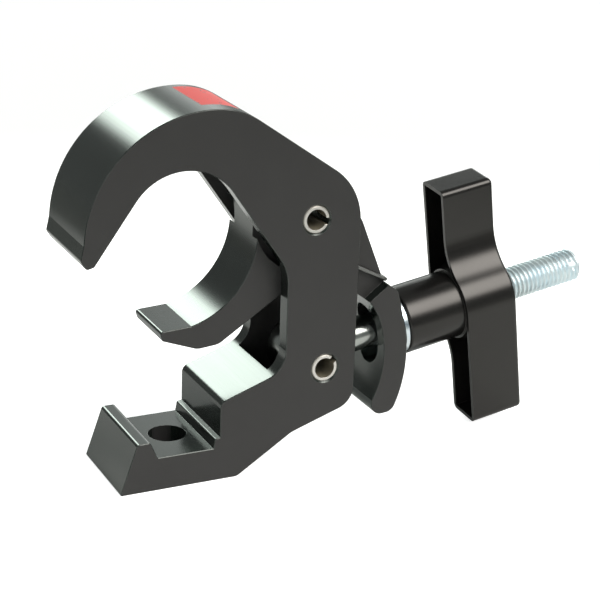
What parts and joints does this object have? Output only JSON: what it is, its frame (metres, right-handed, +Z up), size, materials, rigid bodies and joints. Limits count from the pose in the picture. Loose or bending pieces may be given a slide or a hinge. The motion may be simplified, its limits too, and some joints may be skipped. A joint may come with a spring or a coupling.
{
  "type": "pipe clamp",
  "caption": "Hook-shaped quick-trigger pipe clamp with a sprung pivoting jaw, a swing bolt and a T-knob, and a drilled base for hanging a fixture.",
  "frame": {"origin": "centre of the gripped 50 mm tube, midway between the two sawn faces of the body", "axes": "+Y along the tube, +Z up to the crown of the hook, +X towards the knob"},
  "size_m": [0.1647, 0.029, 0.1074],
  "materials": {
    "black_aluminium": "black anodised, satin on the sawn faces and glossier on the extruded faces",
    "zinc_steel": "bright zinc plate",
    "spring_steel": "drawn spring wire",
    "black_nylon": "matt",
    "black_plastic": "gloss moulding"
  },
  "bodies": {
    "frame": {"clamp_body": "black_aluminium", "jaw_pivot_pin": "zinc_steel", "bolt_pivot_pin": "zinc_steel", "bolt_eye_spacers": "black_nylon", "jaw_spring": "spring_steel"},
    "jaw": {"jaw": "black_aluminium"},
    "bolt": {"swing_bolt": "zinc_steel"},
    "washer": {"thrust_washer": "zinc_steel"},
    "knob": {"knob": "black_plastic", "knob_insert": "zinc_steel"}
  },
  "joints": [
    {"name": "jaw_pivot", "type": "hinge", "parent": "frame", "child": "jaw", "pos_m": [0.039, 0, 0.0135], "axis": [0, -1, 0], "range_deg": [0, 22], "deforming": ["jaw_spring"]},
    {"name": "bolt_swing", "type": "hinge", "parent": "frame", "child": "bolt", "pos_m": [0.0432, 0, -0.0311], "axis": [0, -1, 0], "range_deg": [0, 16.2]},
    {"name": "knob_travel", "type": "slide", "parent": "bolt", "child": "washer", "axis": [0.9856, 0, 0.1693], "range_m": [0, 0.01725]},
    {"name": "knob_spin", "type": "hinge", "parent": "washer", "child": "knob", "pos_m": [0.0432, 0, -0.0311], "axis": [0.9856, 0, 0.1693], "range_deg": [0, 4140]}
  ],
  "couplings": [
    {"joint": "knob_travel", "follows": "knob_spin", "m_per_rad": 0.00023873},
    {"joint": "jaw_pivot", "follows": "knob_spin", "ratio": 0.005314},
    {"joint": "bolt_swing", "follows": "knob_spin", "ratio": 0.003913}
  ]
}
